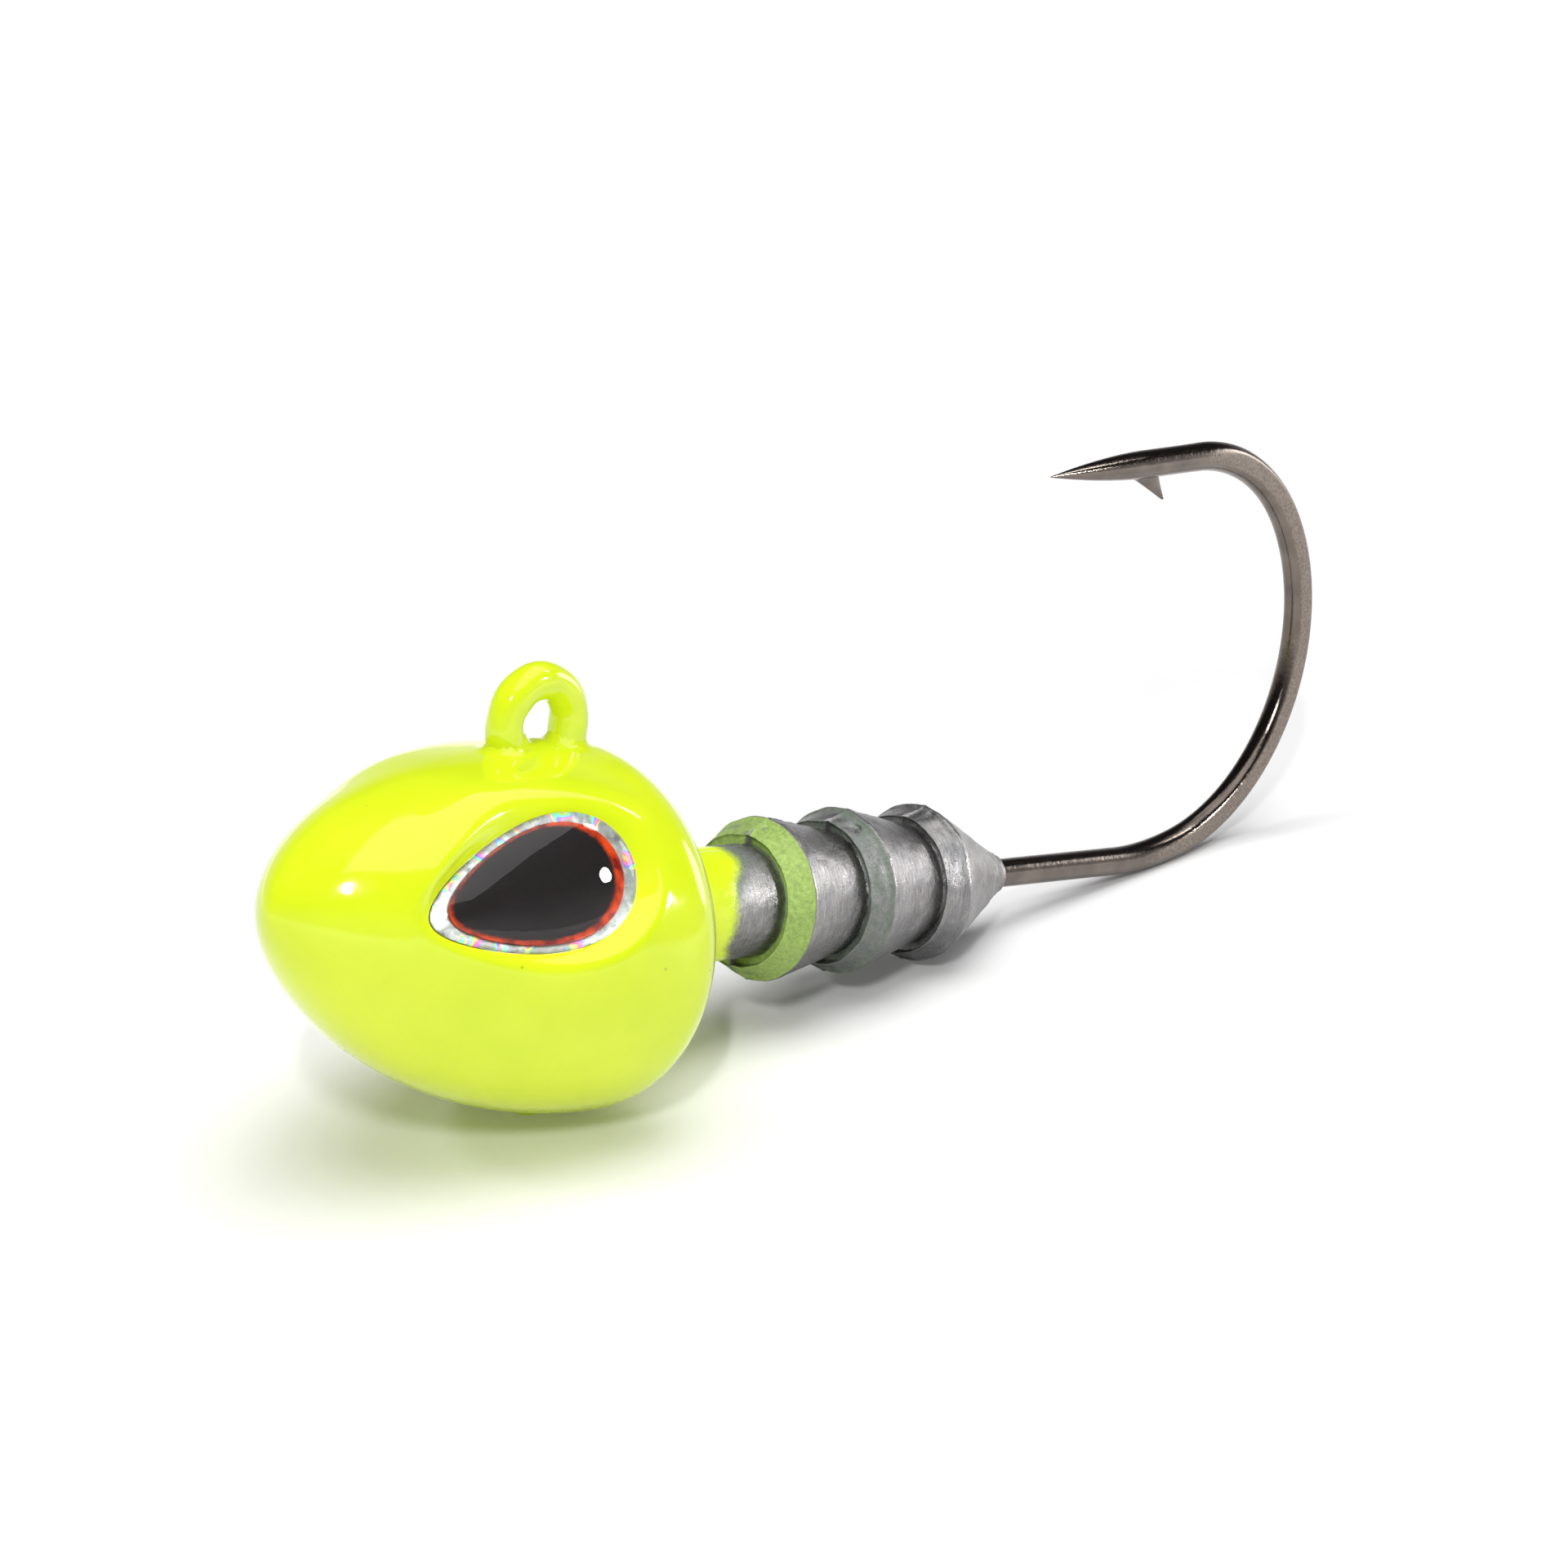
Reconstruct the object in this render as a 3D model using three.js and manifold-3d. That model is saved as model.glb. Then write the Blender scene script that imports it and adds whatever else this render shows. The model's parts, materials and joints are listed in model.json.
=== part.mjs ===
// A fishing jig head: a heavy cast head with glued-in eyes and a barbed bait keeper, poured
// around a one-piece wire hook. Millimetres, +Z up, nose towards -X, hook bend towards +X.
// Everything is laid out along the hook's shank: x runs along it and z stands across it in the
// plane of the hook. The finished lure is then tilted to sit on its belly and on the bend.
import * as THREE from 'three';
import { mergeVertices } from 'three/addons/utils/BufferGeometryUtils.js';
import Module from 'manifold-3d';

const wasm = await Module();
wasm.setup();

// ---- Driving dimensions ----
const SHANK_TILT = THREE.MathUtils.degToRad(11.1);
const FIT_GAP = 0.03; // between pieces cast, coated or glued onto each other

// Hook wire, from the butt of the line tie to the point
const WIRE_RADIUS = 0.8;
const WIRE_SIDES = 12;
const RING_CENTRE = { x: -50.3, z: 10.2 };
const RING_RADIUS = 2.1; // centreline of the line tie
const RING_WRAP = 264; // degrees of ring between its butt and the leg
const RING_STEP = 12; // degrees, shared by the ring and the coat so that their facets line up
const LEG_BEND_RADIUS = 2.5;
const BEND_START_X = -4.05;
const HEEL = { radius: 19.5, turn: 16.7 };
const BACK = { radius: 11.86, turn: 111.5 };
const CROWN = { radius: 10.5, turn: 57.1 };
const POINT_LEG_LENGTH = 12.8;
const NEEDLE_LENGTH = 8; // the tapered end of the point leg
const NEEDLE_TIP_SCALE = 0.05;
const NEEDLE_FULLNESS = 1.7; // 1 would make the needle a plain cone
const FORGED_THICKNESS = 0.84; // sideways, where the bend is pressed flat
const FORGED_DEPTH = 1.1; // in the plane of the hook
// Measured back from the tip of the point, and inwards from the middle of the wire
const BARB = { front: 5.85, rear: 9.1, tip: 9.95, reach: 2.25, thickness: 0.75 };

// Head: an egg with its wide end to the rear and a blunt nose above the shank line
const WIDEST_X = -47.3;
const NOSE_LENGTH = 18.6;
const REAR_LENGTH = 4.5;
const TOP_HEIGHT = 9.03;
const BELLY_DEPTH = 9.49;
const HALF_WIDTH = 10;
const BODY_CENTRE_Z = -0.24;
const NOSE_CENTRE_Z = 1.79;
const NOSE_FULLNESS = { top: 2.34, belly: 1.96, side: 1.59 };
const NOSE_ROUNDNESS = 1.6;
const REAR_FULLNESS = 2.39;
const REAR_FACE_X = -43.3; // the flat that a soft bait butts against
const HEAD_SEGMENTS = { around: 48, along: 36 };
const GATE = { x: -47.2, length: 3.2, width: 2.2, height: 1.6 }; // clipped stub that the belly rests on

// Eyes: teardrops lying in sockets, their long axes nearly level
const EYE_CENTRE = { x: -55.49, y: 7.18, z: 4.12 };
const EYE_FORWARD = THREE.MathUtils.degToRad(17);
const EYE_UPWARD = THREE.MathUtils.degToRad(25);
const EYE_ROLL = THREE.MathUtils.degToRad(8.4);
const EYE_LENGTH = 11.15;
const EYE_HEIGHT = 6.5;
const EYE_TAPER = 0.353; // how much narrower the front end is than the rear end
const EYE_SEGMENTS = 36;
const PUPIL_SCALE = 0.83;
const SOCKET_FLOOR = -1.6; // below the head's surface at the middle of the eye
const SOCKET_SCALE = 1.07;
const GLUE_THICKNESS = 0.12;
const FOIL_THICKNESS = 0.12;
const INK_THICKNESS = 0.06;
const DOME_RIM = 0.45;
const DOME_HEIGHT = 1.3;
const BROW = { height: 0.5, spread: 0.24, margin: 1.7, fadeFrom: 0, fadeTo: -6 };

// Paint that bridges from the head over the line tie
const COAT_THICKNESS = 0.15;
const COAT_WRAP = 216; // degrees of the ring that stand clear of the head, down to the leg
const COAT_DOWN_LEG = 1.15;

// Bait keeper: a neck, three annular barbs and an end cone
const NECK_RADIUS = 2.97;
const BARB_EDGES = [
  { x: -33.1, radius: 4.37, root: 2.97 },
  { x: -27.2, radius: 4.47, root: 3.3 },
  { x: -21.1, radius: 4.31, root: 3.2 },
];
const BARB_LEAN = 1.3; // from the root of a barb's front face back to its edge
const GROOVE = { depth: 0.35, width: 0.35 };
const CONE_END = { x: -14.5, radius: 1.1 };
const KEEPER_SEGMENTS = 40;

// ---- Geometry helpers ----
function toSolid(geometry) {
  const bare = geometry.clone();
  bare.deleteAttribute('normal');
  bare.deleteAttribute('uv');
  const merged = mergeVertices(bare, 1e-5);
  return new wasm.Manifold(new wasm.Mesh({
    numProp: 3,
    vertProperties: new Float32Array(merged.getAttribute('position').array),
    triVerts: new Uint32Array(merged.getIndex().array),
  }));
}

function toGeometry(solid) {
  const mesh = solid.getMesh();
  const geometry = new THREE.BufferGeometry();
  geometry.setAttribute('position', new THREE.BufferAttribute(mesh.vertProperties, 3));
  geometry.setIndex(new THREE.BufferAttribute(mesh.triVerts, 1));
  geometry.computeVertexNormals();
  return geometry;
}

function moveVertices(geometry, move) {
  const position = geometry.getAttribute('position');
  const point = new THREE.Vector3();
  for (let i = 0; i < position.count; i += 1) {
    move(point.fromBufferAttribute(position, i));
    position.setXYZ(i, point.x, point.y, point.z);
  }
  return geometry;
}

function piece(name, geometry, material) {
  const mesh = new THREE.Mesh(geometry, material);
  mesh.name = name;
  return mesh;
}

// ---- Hook wire ----
// A route is a list of straights and arcs, walked from a start point in the plane of the hook.
function straight(length) {
  return { length, turn: 0, steps: 1 };
}

function arc(radius, turnDegrees, stepDegrees) {
  const turn = THREE.MathUtils.degToRad(turnDegrees);
  const steps = Math.ceil(Math.abs(turnDegrees) / stepDegrees);
  return { length: radius * Math.abs(turn), turn, steps };
}

function walk(start, headingDegrees, route) {
  let heading = THREE.MathUtils.degToRad(headingDegrees);
  let { x, z } = start;
  let travelled = 0;
  const stations = [{ x, z, heading, travelled }];
  for (const stretch of route) {
    const turn = stretch.turn / stretch.steps;
    const step = stretch.length / stretch.steps;
    const chord = turn === 0 ? step : step * Math.sin(turn / 2) / (turn / 2);
    for (let i = 0; i < stretch.steps; i += 1) {
      x += chord * Math.cos(heading + turn / 2);
      z += chord * Math.sin(heading + turn / 2);
      heading += turn;
      travelled += step;
      stations.push({ x, z, heading, travelled });
    }
  }
  return stations;
}

// Sweeps a section drawn as (sideways, in the plane of the hook) through the stations.
function sweep(section, stations, scaleAt = () => [1, 1]) {
  const steps = stations.length - 1;
  const prism = new THREE.ExtrudeGeometry(section, { depth: 1, steps, bevelEnabled: false });
  return moveVertices(prism, (point) => {
    const station = stations[Math.round(point.z * steps)];
    const [sideways, inPlane] = scaleAt(station);
    const across = point.y * inPlane;
    const y = point.x * sideways;
    const x = station.x - across * Math.sin(station.heading);
    point.set(x, y, station.z + across * Math.cos(station.heading));
  });
}

function roundSection(radius, ClassOfPath = THREE.Shape) {
  const corners = [];
  for (let i = 0; i < WIRE_SIDES; i += 1) {
    const angle = (i / WIRE_SIDES) * 2 * Math.PI;
    corners.push(new THREE.Vector2(radius * Math.cos(angle), radius * Math.sin(angle)));
  }
  return new ClassOfPath(corners);
}

function onRing(degrees) {
  const angle = THREE.MathUtils.degToRad(degrees);
  return {
    x: RING_CENTRE.x + RING_RADIUS * Math.cos(angle),
    z: RING_CENTRE.z + RING_RADIUS * Math.sin(angle),
  };
}

const legBendEndX = RING_CENTRE.x + RING_RADIUS + LEG_BEND_RADIUS;
const castInRoute = [
  arc(RING_RADIUS, -RING_WRAP, RING_STEP),
  straight(RING_CENTRE.z - LEG_BEND_RADIUS),
  arc(LEG_BEND_RADIUS, 90, 15),
  straight(BEND_START_X - legBendEndX),
];
const bendRoute = [
  arc(HEEL.radius, HEEL.turn, 4.2),
  arc(BACK.radius, BACK.turn, 5),
  arc(CROWN.radius, CROWN.turn, 5.2),
];
const pointRoute = [
  straight(POINT_LEG_LENGTH - NEEDLE_LENGTH),
  { length: NEEDLE_LENGTH, turn: 0, steps: 4 },
];

function totalLength(route) {
  return route.reduce((sum, stretch) => sum + stretch.length, 0);
}

// The bend is forged: pressed thinner sideways, which makes it deeper in its own plane.
function forgedScale(station) {
  const bendStart = totalLength(castInRoute);
  const bendEnd = bendStart + totalLength(bendRoute);
  const wireEnd = bendEnd + POINT_LEG_LENGTH;
  const intoBend = THREE.MathUtils.smoothstep(station.travelled, bendStart, bendStart + HEEL.radius / 2);
  const outOfBend = THREE.MathUtils.smoothstep(station.travelled, bendEnd - 4, bendEnd + 2);
  const forged = intoBend * (1 - outOfBend);
  const toTip = THREE.MathUtils.clamp((wireEnd - station.travelled) / NEEDLE_LENGTH, 0, 1);
  const needle = THREE.MathUtils.lerp(NEEDLE_TIP_SCALE, 1, 1 - (1 - toTip) ** NEEDLE_FULLNESS);
  const sideways = THREE.MathUtils.lerp(1, FORGED_THICKNESS, forged);
  const inPlane = THREE.MathUtils.lerp(1, FORGED_DEPTH, forged);
  return [sideways * needle, inPlane * needle];
}

// A sliver raised from the inner side of the point leg, its tip swept back towards the bend.
function pointBarb(stations) {
  const tip = stations[stations.length - 1];
  const inward = WIRE_RADIUS * 0.4;
  const outline = new THREE.Shape();
  outline.moveTo(BARB.front, inward);
  outline.lineTo(BARB.tip, BARB.reach);
  outline.lineTo(BARB.rear, inward);
  outline.closePath();
  const wedge = new THREE.ExtrudeGeometry(outline, { depth: BARB.thickness, bevelEnabled: false });
  return moveVertices(wedge, (point) => {
    const back = point.x;
    const side = point.z - BARB.thickness / 2;
    const inner = point.y;
    const x = tip.x - back * Math.cos(tip.heading) - inner * Math.sin(tip.heading);
    const z = tip.z - back * Math.sin(tip.heading) + inner * Math.cos(tip.heading);
    point.set(x, side, z);
  });
}

function hookGeometry() {
  const route = [...castInRoute, ...bendRoute, ...pointRoute];
  const stations = walk(onRing(RING_WRAP), RING_WRAP - 90, route);
  const wire = toSolid(sweep(roundSection(WIRE_RADIUS), stations, forgedScale));
  return toGeometry(wire.add(toSolid(pointBarb(stations))));
}

// ---- Paint over the line tie ----
function coatStations() {
  const route = [arc(RING_RADIUS, -COAT_WRAP, RING_STEP), straight(COAT_DOWN_LEG)];
  return walk(onRing(COAT_WRAP), COAT_WRAP - 90, route);
}

function coatGeometry() {
  const section = roundSection(WIRE_RADIUS + COAT_THICKNESS);
  section.holes.push(roundSection(WIRE_RADIUS + FIT_GAP, THREE.Path));
  return sweep(section, coatStations());
}

// ---- Eyes ----
// Each eye has its own frame: x along the teardrop to its round end, z out of the head.
function eyeFrame(side) {
  const out = new THREE.Vector3(
    -Math.sin(EYE_FORWARD) * Math.cos(EYE_UPWARD),
    side * Math.cos(EYE_FORWARD) * Math.cos(EYE_UPWARD),
    Math.sin(EYE_UPWARD),
  );
  const level = new THREE.Vector3(1, 0, 0).projectOnPlane(out).normalize();
  const long = level.applyAxisAngle(out, -side * EYE_ROLL);
  const across = new THREE.Vector3().crossVectors(out, long);
  return new THREE.Matrix4()
    .makeBasis(long, across, out)
    .setPosition(EYE_CENTRE.x, side * EYE_CENTRE.y, EYE_CENTRE.z);
}

function teardrop(angle) {
  const width = (a) => Math.sin(a) * (1 - EYE_TAPER * Math.cos(a));
  const widestAngle = Math.acos((1 - Math.sqrt(1 + 8 * EYE_TAPER ** 2)) / (4 * EYE_TAPER));
  const x = -(EYE_LENGTH / 2) * Math.cos(angle);
  const y = (EYE_HEIGHT / 2) * width(angle) / width(widestAngle);
  return new THREE.Vector2(x, y);
}

// Turns a profile (scale of the outline, height) into a closed teardrop-shaped body.
function teardropBody(profile) {
  const points = profile.map(([scale, height]) => new THREE.Vector2(scale, height));
  const body = new THREE.LatheGeometry(points, EYE_SEGMENTS).rotateX(Math.PI / 2);
  const middle = new THREE.Vector2(EYE_LENGTH * 0.1, 0);
  return moveVertices(body, (point) => {
    const scale = Math.hypot(point.x, point.y);
    const edge = teardrop(Math.atan2(point.y, -point.x)).sub(middle);
    point.set(middle.x + edge.x * scale, middle.y + edge.y * scale, point.z);
  });
}

function teardropSlab(scale, bottom, top) {
  return teardropBody([[0, bottom], [scale, bottom], [scale, top], [0, top]]);
}

function domeProfile(bottom) {
  const profile = [[0, bottom], [1, bottom]];
  const steps = 5;
  for (let i = 0; i <= steps; i += 1) {
    const angle = (i / steps) * (Math.PI / 2);
    const rise = (DOME_HEIGHT - DOME_RIM) * Math.sin(angle);
    profile.push([Math.cos(angle), bottom + DOME_RIM + rise]);
  }
  profile[profile.length - 1][0] = 0;
  return profile;
}

const glueBottom = SOCKET_FLOOR + FIT_GAP;
const foilBottom = glueBottom + GLUE_THICKNESS + FIT_GAP;
const inkBottom = foilBottom + FOIL_THICKNESS + FIT_GAP;
const domeBottom = inkBottom + INK_THICKNESS + FIT_GAP;

// ---- Head casting ----
function taper(along, fullness, roundness) {
  return Math.max(0, 1 - along ** fullness) ** (1 / roundness);
}

// Moves a point of the unit sphere onto the plain egg shape of the head.
function toHeadSurface(point) {
  const girth = Math.hypot(point.y, point.z) || 1;
  const sideways = point.y / girth;
  const upwards = point.z / girth;
  const along = Math.abs(point.x);
  const above = TOP_HEIGHT - BODY_CENTRE_Z;
  const below = BELLY_DEPTH + BODY_CENTRE_Z;
  if (point.x < 0) {
    const fullness = upwards > 0 ? NOSE_FULLNESS.top : NOSE_FULLNESS.belly;
    const height = (upwards > 0 ? above : below) * taper(along, fullness, NOSE_ROUNDNESS);
    const width = HALF_WIDTH * taper(along, NOSE_FULLNESS.side, NOSE_ROUNDNESS);
    const centre = THREE.MathUtils.lerp(BODY_CENTRE_Z, NOSE_CENTRE_Z, along ** 2);
    point.set(WIDEST_X - NOSE_LENGTH * along, width * sideways, centre + height * upwards);
    return;
  }
  const round = taper(along, REAR_FULLNESS, 2);
  const height = (upwards > 0 ? above : below) * round;
  const z = BODY_CENTRE_Z + height * upwards;
  point.set(WIDEST_X + REAR_LENGTH * along, HALF_WIDTH * round * sideways, z);
}

// Raises the brow, a soft ridge that runs over the top of each socket and fades towards the nose.
function raiseBrow(point, frames) {
  const frame = point.y < 0 ? frames.left : frames.right;
  const local = point.clone().applyMatrix4(frame.clone().invert());
  const up = point.y < 0 ? local.y : -local.y;
  const reach = Math.hypot(
    local.x / (EYE_LENGTH / 2 + BROW.margin),
    up / (EYE_HEIGHT / 2 + BROW.margin),
  );
  const onRidge = Math.exp(-(((reach - 1) / BROW.spread) ** 2));
  const overEye = THREE.MathUtils.smoothstep(up, -1, EYE_HEIGHT / 2);
  const behindNose = THREE.MathUtils.smoothstep(local.x, BROW.fadeTo, BROW.fadeFrom);
  const out = new THREE.Vector3().setFromMatrixColumn(frame, 2);
  point.addScaledVector(out, BROW.height * onRidge * overEye * behindNose);
}

// Height above the start of the shank line once the lure is tilted.
function tiltedHeight(x, z) {
  return z * Math.cos(SHANK_TILT) - x * Math.sin(SHANK_TILT);
}

function lowestPoint(geometry) {
  const position = geometry.getAttribute('position');
  let lowest = Infinity;
  for (let i = 0; i < position.count; i += 1) {
    lowest = Math.min(lowest, tiltedHeight(position.getX(i), position.getZ(i)));
  }
  return lowest;
}

// The gate stub ends level with the floor under the hook's bend.
function gateGeometry(floorHeight) {
  const middle = floorHeight + GATE.height / 2;
  const z = (middle + GATE.x * Math.sin(SHANK_TILT)) / Math.cos(SHANK_TILT);
  return new THREE.CylinderGeometry(0.5, 0.5, GATE.height, 20)
    .rotateX(Math.PI / 2)
    .scale(GATE.length, GATE.width, 1)
    .rotateY(-SHANK_TILT)
    .translate(GATE.x, 0, z);
}

function headGeometry(frames, floorHeight) {
  const { around, along } = HEAD_SEGMENTS;
  const egg = new THREE.SphereGeometry(1, around, along).rotateZ(-Math.PI / 2);
  moveVertices(egg, (point) => {
    toHeadSurface(point);
    raiseBrow(point, frames);
  });
  const behindRearFace = new THREE.BoxGeometry(10, 30, 30).translate(REAR_FACE_X + 5, 0, 0);
  const channelRadius = (WIRE_RADIUS + FIT_GAP) / WIRE_RADIUS;
  const channel = sweep(
    roundSection(WIRE_RADIUS),
    walk(onRing(RING_WRAP), RING_WRAP - 90, castInRoute),
    () => [channelRadius, channelRadius],
  );
  const coatSeat = sweep(roundSection(WIRE_RADIUS + COAT_THICKNESS + FIT_GAP), coatStations());
  const socket = teardropSlab(SOCKET_SCALE, SOCKET_FLOOR, SOCKET_FLOOR + 5);
  let head = toSolid(egg).add(toSolid(gateGeometry(floorHeight)));
  const cuts = [
    behindRearFace,
    channel,
    coatSeat,
    socket.clone().applyMatrix4(frames.left),
    socket.clone().applyMatrix4(frames.right),
  ];
  for (const cut of cuts) {
    head = head.subtract(toSolid(cut));
  }
  return toGeometry(head);
}

// ---- Bait keeper ----
function keeperGeometry() {
  const bore = WIRE_RADIUS + FIT_GAP;
  const start = REAR_FACE_X + FIT_GAP;
  const outline = [[start, bore], [start, NECK_RADIUS]];
  for (const edge of BARB_EDGES) {
    const rootX = edge.x - BARB_LEAN;
    outline.push([rootX + GROOVE.depth, edge.root]);
    outline.push([rootX, edge.root + GROOVE.width]);
    outline.push([edge.x, edge.radius]);
  }
  outline.push([CONE_END.x, CONE_END.radius], [CONE_END.x, bore], [start, bore]);
  const profile = outline.map(([x, radius]) => new THREE.Vector2(radius, x));
  return new THREE.LatheGeometry(profile, KEEPER_SEGMENTS).rotateZ(-Math.PI / 2);
}

// ---- Materials ----
const chartreusePaint = { color: 0xd6f20a, roughness: 0.12, metalness: 0 };
const bareLead = { color: 0x9a9ba0, roughness: 0.45, metalness: 0.85 };
const blackNickel = { color: 0x4a413c, roughness: 0.25, metalness: 1 };
const clearGlue = { color: 0xd8d8cf, roughness: 0.6, metalness: 0 };
const silverFoil = { color: 0xc4cacc, roughness: 0.2, metalness: 1 };
const darkInk = { color: 0x120c0b, roughness: 0.35, metalness: 0 };
const clearResin = { color: 0xe9efef, roughness: 0.04, metalness: 0, transparent: true, opacity: 0.35 };

// ---- Assembly ----
const frames = { left: eyeFrame(-1), right: eyeFrame(1) };
const wire = hookGeometry();
const head = headGeometry(frames, lowestPoint(wire));
const lure = new THREE.Group();
lure.rotation.y = SHANK_TILT;
lure.add(
  piece('head_casting', head, new THREE.MeshStandardMaterial(chartreusePaint)),
  piece('bait_keeper', keeperGeometry(), new THREE.MeshStandardMaterial(bareLead)),
  piece('hook', wire, new THREE.MeshStandardMaterial(blackNickel)),
  piece('line_tie_coat', coatGeometry(), new THREE.MeshStandardMaterial(chartreusePaint)),
);

const eyeLayers = [
  ['glue', teardropSlab(1, glueBottom, glueBottom + GLUE_THICKNESS), clearGlue],
  ['foil', teardropSlab(1, foilBottom, foilBottom + FOIL_THICKNESS), silverFoil],
  ['print', teardropSlab(PUPIL_SCALE, inkBottom, inkBottom + INK_THICKNESS), darkInk],
  ['dome', teardropBody(domeProfile(domeBottom)), clearResin],
];
for (const [side, frame] of Object.entries(frames)) {
  const eye = new THREE.Group();
  eye.applyMatrix4(frame);
  for (const [layer, geometry, finish] of eyeLayers) {
    eye.add(piece(`eye_${layer}_${side}`, geometry, new THREE.MeshStandardMaterial(finish)));
  }
  lure.add(eye);
}

// The origin is at the middle of the lure's footprint, on the surface that it stands on.
const jigHead = new THREE.Group();
jigHead.add(lure);
const bounds = new THREE.Box3().setFromObject(jigHead, true);
lure.position.x -= (bounds.min.x + bounds.max.x) / 2;
lure.position.z -= bounds.min.z;

export default jigHead;
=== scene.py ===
"""The looks of the jig head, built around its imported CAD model.

Shapes are laid out in millimetres in the shank frame: x along the hook's shank, with the nose
towards -x, y across the lure, and z across the shank in the plane of the hook. to_part() puts
them into the frame of the CAD model, in metres.
"""
import json
import math

import bmesh
import bpy
import numpy as np
from mathutils import Matrix, Vector, noise


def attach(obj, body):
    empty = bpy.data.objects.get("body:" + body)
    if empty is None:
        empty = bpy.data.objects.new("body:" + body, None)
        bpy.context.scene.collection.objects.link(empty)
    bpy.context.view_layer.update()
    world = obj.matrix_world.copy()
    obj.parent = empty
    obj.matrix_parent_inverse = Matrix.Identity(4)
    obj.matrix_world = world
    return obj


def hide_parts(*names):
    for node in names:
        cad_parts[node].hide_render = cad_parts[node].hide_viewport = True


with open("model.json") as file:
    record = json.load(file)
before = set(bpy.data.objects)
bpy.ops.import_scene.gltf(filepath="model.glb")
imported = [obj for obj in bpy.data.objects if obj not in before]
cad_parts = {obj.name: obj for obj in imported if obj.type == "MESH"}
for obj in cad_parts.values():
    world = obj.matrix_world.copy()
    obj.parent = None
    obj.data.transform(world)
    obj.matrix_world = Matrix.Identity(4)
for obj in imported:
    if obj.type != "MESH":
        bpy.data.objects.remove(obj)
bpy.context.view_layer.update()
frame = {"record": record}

MM = 0.001

# ---- Sizes, in millimetres and degrees ----
WIRE_RADIUS = 0.8
RING_CENTRE = (-50.3, 10.2)
RING_RADIUS = 2.1
RING_WRAP = 264
LEG_BEND_RADIUS = 2.5
BEND_START_X = -4.05
HEEL = (19.5, 16.7)  # radius, turn
BACK = (11.86, 111.5)
CROWN = (10.5, 57.1)
POINT_LEG_LENGTH = 12.8
NEEDLE_LENGTH = 8.0
NEEDLE_TIP_SCALE = 0.02
NEEDLE_FULLNESS = 1.7  # 1 would make the needle a plain cone
FORGED_THICKNESS = 0.84
FORGED_DEPTH = 1.1
FORGED_EDGE_ROUNDING = 0.08
UNPRESSED = 1.15  # a share of the radius that is past the wire's side, so that it stays round
FORGING_FADE = (-4, 2)  # where the flats run out, from the end of the bend
BARB_FRONT = 5.85  # the barb's places are measured back from the tip of the point
BARB_REAR = 9.1
BARB_TIP = 9.95
BARB_REACH = 2.25
BARB_THICKNESS = 0.75
BARB_TIP_THICKNESS = 0.16
BARB_TIP_LENGTH = 0.22

WIDEST_X = -47.3
NOSE_LENGTH = 18.6
REAR_LENGTH = 4.5
TOP_HEIGHT = 9.03
BELLY_DEPTH = 9.49
HALF_WIDTH = 10.0
BODY_CENTRE_Z = -0.24
NOSE_CENTRE_Z = 1.79
TOP_FULLNESS = 2.34
BELLY_FULLNESS = 1.96
SIDE_FULLNESS = 1.59
NOSE_ROUNDNESS = 1.6
REAR_FULLNESS = 2.39
REAR_FACE_X = -43.3
REAR_EDGE_ROUNDING = 0.7
PAINT_THICKNESS = 0.15
TIE_REGION_Z = 6
TIE_FILLET = 0.6  # where the paint has run into the corners at the feet of the line tie
TIE_MOUND = (-50.2, 0.4, 1.5, 1.1)  # the paint pooled between the feet: x, height, length, width
NECK_FILLET = 0.75
HEAD_COLUMNS = 300
HEAD_ROWS = 229
GATE_LENGTH = 3.2
GATE_WIDTH = 2.2
GATE_HEIGHT = 1.6

EYE_CENTRE = (-55.49, 7.18, 4.12)
EYE_FORWARD = 17
EYE_UPWARD = 25
EYE_ROLL = 8.4
EYE_LENGTH = 11.15
EYE_HEIGHT = 6.5
EYE_TAPER = 0.353
EYE_MIDDLE = 0.1 * EYE_LENGTH
BROW_HEIGHT = 0.5
BROW_SPREAD = 0.24
BROW_MARGIN = 1.7
BROW_FADE = (-6, 0)  # along the eye, towards the nose
SOCKET_FLOOR = -1.6
SOCKET_SCALE = 1.012
SOCKET_OPENING = 5  # where the cutter of the socket ends, well outside the head
DISH_RIM = -0.95  # where the paint meets the eye, along the eye's own axis
DISH_FRONT_WIDTH = 1.1
DISH_REAR_WIDTH = 1.5
PUPIL_SCALE = 0.83
PUPIL_OFFSET = (-0.04, 0.08)  # the black is printed a little off the middle of its red rim

NECK_RADIUS = 2.97
BARB_RINGS = ((-33.1, 4.37, 2.97), (-27.2, 4.47, 3.3), (-21.1, 4.31, 3.2))  # x, radius, root
RING_LEAN = 1.3
CONE_END = (-14.5, 1.1)
PAINT_END_X = -37.9  # on the near side of the neck
OVERSPRAY = (1.0, 0.5, 0.22)  # on the front faces of the barbs
NEAR_GROOVE = 0.38  # the recess between a barb's front face and the core, each side of the parting
FAR_GROOVE = 0.12
KEEPER_SPACING = 0.16
KEEPER_COLUMNS = 180
PARTING_STEP = 0.35  # the far half of the mould sat this much nearer to the head
PITS = (  # casting pits as ring, degrees round from the top, height, radius and depth
    (1, -20, 3.85, 0.3, 0.75),
    (1, -26, 3.6, 0.2, 0.5),
    (0, -6, 3.9, 0.16, 0.35),
    (2, -14, 3.8, 0.16, 0.4),
    (2, -12, 4.05, 0.16, 0.35),
    (0, -168, 3.9, 0.25, 0.4),
    (1, -168, 3.9, 0.28, 0.5),
)

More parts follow.
